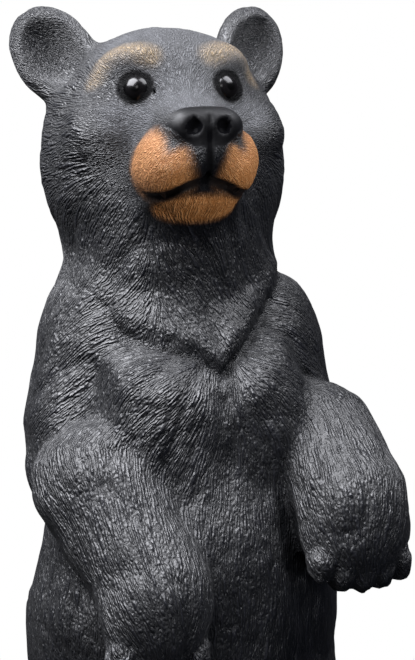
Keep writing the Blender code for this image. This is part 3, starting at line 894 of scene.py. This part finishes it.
def base_arrays(look):
    """The base: an outline from the underside's middle over the rim to the top's middle, turned
    about the vertical into an oval, and pressed in by noise so that it never leaves its box."""
    half = np.array(BASE_HIGH - BASE_LOW) / 2
    height = BASE_HIGH.z - BASE_LOW.z
    edge = BASE_ROUND
    corner = np.linspace(0, math.pi / 2, 9)
    profile = [(share, 0.0) for share in np.linspace(0.06, 0.97, 24)] + [(1.0, 0.0)]
    profile += [(1.0, z) for z in np.linspace(0.001, height - edge, 10)]
    profile += [
        (1 - edge / half[0] * (1 - math.cos(a)), height - edge * (1 - math.sin(a))) for a in corner[1:]
    ]
    profile += [(share, height) for share in np.linspace(1 - edge / half[0], 0.01, 90)[1:]]
    profile = np.array(profile)
    turn = np.linspace(0, 2 * math.pi, BASE_SPOKES, endpoint=False)
    out = profile[:, 0][:, None]
    heights = profile[:, 1:] + 0 * turn
    oval = [out * half[0] * np.cos(turn), out * half[1] * np.sin(turn), heights]
    points = np.stack(oval, axis=-1).reshape(-1, 3)
    places = points / MM
    low = (noise_at(places, 17.0) + 1) / 2
    fine = (np.abs(noise_at(places + 50, 6.0)) + 0.6 * np.abs(noise_at(places + 90, 2.6))) / 1.6
    depth = look.relief * (0.55 * low + 0.45 * (1 - fine))
    lifted = rise(points[:, 2], 0.002, 0.007)
    outward = unit(points * (1, 1, 0))
    side = 1 - rise(np.repeat(profile[:, 0], BASE_SPOKES), 1 - 2 * edge / half[0], 1.0)
    under_feet = 1 - rise(foot_reach(places), 0, 9)
    top_press = (depth * lifted * side) * (1 - under_feet) + 0.0012 * under_feet * lifted * side
    points = points - outward * (depth * lifted * (1 - side))[:, None]
    points[:, 2] -= top_press
    rows = np.arange(len(profile))[:, None] * BASE_SPOKES + np.arange(BASE_SPOKES)
    ahead = np.roll(rows, -1, axis=1)
    bands = np.stack([rows[:-1], ahead[:-1], ahead[1:], rows[1:]], axis=-1).reshape(-1, 4).tolist()
    count = len(points)
    points = np.concatenate([points, [(0, 0, 0)], [(0, 0, points[-BASE_SPOKES:, 2].mean())]])
    caps = [(count, int(b), int(a)) for a, b in zip(rows[0], ahead[0])]
    caps += [(count + 1, int(a), int(b)) for a, b in zip(rows[-1], ahead[-1])]
    return points + (0, 0, BASE_LOW.z), bands + caps, 1 - depth / look.relief


def foot_reach(places):
    """Distance in millimetres from the outline of the nearer sole."""
    sides = mirrored(places) * (1, 1, 0)
    return blob(sides + (0, 0, 15), (55, -24, 15), (28, 58, 24), turned(z=12))


def earth_material(look):
    """Cast polyresin modelled as bare earth, washed dark and dry-brushed pale on its high spots."""
    made, tree, shader = new_material("dry_brushed_resin_earth")
    place = add_node(tree, "ShaderNodeTexCoord").outputs["Object"]
    crumb = add_node(tree, "ShaderNodeTexNoise", {"Vector": place, "Scale": CRUMB_SCALE, "Detail": 4.0})
    patch = add_node(tree, "ShaderNodeTexNoise", {"Vector": place, "Scale": PATCH_SCALE, "Detail": 3.0})
    grain = add_node(tree, "ShaderNodeTexVoronoi", {"Vector": place, "Scale": GRAIN_SCALE})
    high = attribute(tree, "high")
    dry = maths(tree, "MULTIPLY_ADD", crumb.outputs[0], 0.6, maths(tree, "MULTIPLY", high, 0.6))
    damp = between(tree, patch.outputs[0], 0.35, 0.65)
    tone = blended(tree, damp, tuple(look.earth), linear("#2a2723"))
    tone = blended(tree, between(tree, dry, 0.62, 0.92, 0.0, 0.75), tone, tuple(look.dust))
    tree.links.new(tone, shader.inputs["Base Color"])
    rough = between(tree, crumb.outputs[0], 0.3, 0.7, 0.82, 0.58)
    tree.links.new(rough, shader.inputs["Roughness"])
    height = maths(tree, "MULTIPLY_ADD", grain.outputs[0], -0.5, crumb.outputs[0])
    bump = add_node(tree, "ShaderNodeBump", {"Height": height, "Strength": 0.8, "Distance": 0.0006})
    tree.links.new(bump.outputs[0], shader.inputs["Normal"])
    return made


class STATUE_OT_base(bpy.types.Operator):
    """Make the oval base of modelled earth"""

    bl_idname = "statue.base"
    bl_label = "Base"

    def execute(self, context):
        look = context.scene.statue_base
        points, faces, high = base_arrays(look)
        mesh = bpy.data.meshes.new("earth_base")
        mesh.from_pydata(points.tolist(), [], faces)
        store(mesh, "high", np.concatenate([high, [0.5, 0.5]]))
        mesh.shade_smooth()
        mesh.materials.append(earth_material(look))
        base = bpy.data.objects.new("earth_base", mesh)
        context.scene.collection.objects.link(base)
        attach(base, "root")
        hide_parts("base")
        return {"FINISHED"}


def aim_at(obj, place, target):
    """Puts a light or camera at a place, looking at a target."""
    obj.location = place
    obj.rotation_mode = "QUATERNION"
    obj.rotation_quaternion = (Vector(target) - Vector(place)).to_track_quat("-Z", "Y")
    bpy.context.scene.collection.objects.link(obj)


def soft_light(name, place, target, size, power, tint, mirrored_by_gloss=True):
    """A square softbox. A fill light is left out of glossy reflections."""
    lamp = bpy.data.lights.new(name, "AREA")
    lamp.shape = "SQUARE"
    lamp.size = size
    lamp.energy = power
    lamp.color = linear(tint)
    box = bpy.data.objects.new(name, lamp)
    box.visible_glossy = mirrored_by_gloss
    aim_at(box, place, target)


def floor_material():
    """Matt white paper that fades out towards its rim, so that no edge shows."""
    made, tree, shader = new_material("matt_white_paper")
    shader.inputs["Base Color"].default_value = (*linear("#f4f4f3"), 1)
    shader.inputs["Roughness"].default_value = 0.9
    place = add_node(tree, "ShaderNodeTexCoord").outputs["Object"]
    reach = add_node(tree, "ShaderNodeVectorMath", {0: place}, operation="LENGTH").outputs["Value"]
    tree.links.new(between(tree, reach, 0.28, 0.62, 1.0, 0.0), shader.inputs["Alpha"])
    return made


class STATUE_OT_stage(bpy.types.Operator):
    """Make the pale floor, the soft light and the camera"""

    bl_idname = "statue.stage"
    bl_label = "Stage"

    def execute(self, context):
        look = context.scene.statue_stage
        turn = np.linspace(0, 2 * math.pi, FLOOR_SPOKES, endpoint=False)
        ring = [FLOOR_RADIUS * np.cos(turn), FLOOR_RADIUS * np.sin(turn), 0 * turn - 0.0002]
        mesh = mesh_from("floor", np.stack(ring, axis=1), np.arange(FLOOR_SPOKES)[None])
        mesh.materials.append(floor_material())
        floor = bpy.data.objects.new("floor", mesh)
        context.scene.collection.objects.link(floor)
        floor.visible_diffuse = False
        floor.visible_glossy = False
        # Two softboxes from above, a small one for the glint in the eyes, and a low fill.
        middle = (0.0, -0.02, 0.30)
        soft_light("left_top", (-0.62, -0.22, 1.2), middle, 0.9, look.key, "#f8f9ff")
        soft_light("right_top", (0.42, -0.3, 1.25), middle, 0.7, 0.30 * look.key, "#f8f9ff")
        soft_light("window", (-0.42, -1.1, 0.80), middle, 0.28, 0.02 * look.key, "#ffffff")
        soft_light("fill", (0.50, -1.0, 0.10), middle, 0.9, 0.28 * look.key, "#ffffff", False)
        # The studio around: white to the eye, and dim to the light, brightest overhead.
        sky = bpy.data.worlds.new("studio")
        context.scene.world = sky
        sky.use_nodes = True
        tree = sky.node_tree
        back = tree.nodes["Background"]
        seen = add_node(tree, "ShaderNodeLightPath").outputs["Is Camera Ray"]
        way = add_node(tree, "ShaderNodeTexCoord").outputs["Generated"]
        up = add_node(tree, "ShaderNodeSeparateXYZ", {0: way})
        glow = between(tree, up.outputs["Z"], -0.6, 0.9, 0.2 * look.sky, look.sky)
        tree.links.new(maths(tree, "MAXIMUM", glow, seen), back.inputs["Strength"])
        tint = blended(tree, seen, linear("#dfe4ff"), (1.0, 1.0, 1.0))
        tree.links.new(tint, back.inputs["Color"])
        context.scene.view_settings.view_transform = "Standard"
        context.scene.view_settings.look = "None"
        turned_by = math.radians(VIEW_TURN)
        back_way = Vector((math.sin(turned_by), -math.cos(turned_by), 0))
        right = Vector((math.cos(turned_by), math.sin(turned_by), 0))
        lens = bpy.data.cameras.new("camera")
        camera = bpy.data.objects.new("camera", lens)
        target = Vector((0, 0, VIEW_HEIGHT)) + right * VIEW_SHIFT
        aim_at(camera, target + back_way * look.distance, target)
        lens.sensor_width = SENSOR
        lens.lens = SENSOR * look.distance / look.span
        context.scene.camera = camera
        return {"FINISHED"}


class STATUE_PT_panel(bpy.types.Panel):
    """Lists the pieces of the statue"""

    bl_label = "Bear statue"
    bl_space_type = "VIEW_3D"
    bl_region_type = "UI"
    bl_category = "Bear statue"

    def draw(self, context):
        for _, operator, settings in PIECES:
            box = self.layout.box()
            look = getattr(context.scene, settings)
            for key in look.__annotations__:
                box.prop(look, key)
            box.operator(operator.bl_idname)


PIECES = (
    (BearLook, STATUE_OT_bear, "statue_bear"),
    (EyeLook, STATUE_OT_eyes, "statue_eyes"),
    (BaseLook, STATUE_OT_base, "statue_base"),
    (StageLook, STATUE_OT_stage, "statue_stage"),
)


def register():
    for group, operator, settings in PIECES:
        bpy.utils.register_class(group)
        bpy.utils.register_class(operator)
        setattr(bpy.types.Scene, settings, PointerProperty(type=group))
    bpy.utils.register_class(STATUE_PT_panel)


def unregister():
    bpy.utils.unregister_class(STATUE_PT_panel)
    for group, operator, settings in reversed(PIECES):
        delattr(bpy.types.Scene, settings)
        bpy.utils.unregister_class(operator)
        bpy.utils.unregister_class(group)


def main():
    register()
    for _, operator, _ in PIECES:
        name = operator.bl_idname.split(".")[1]
        getattr(bpy.ops.statue, name)()


if __name__ == "__main__":
    main()
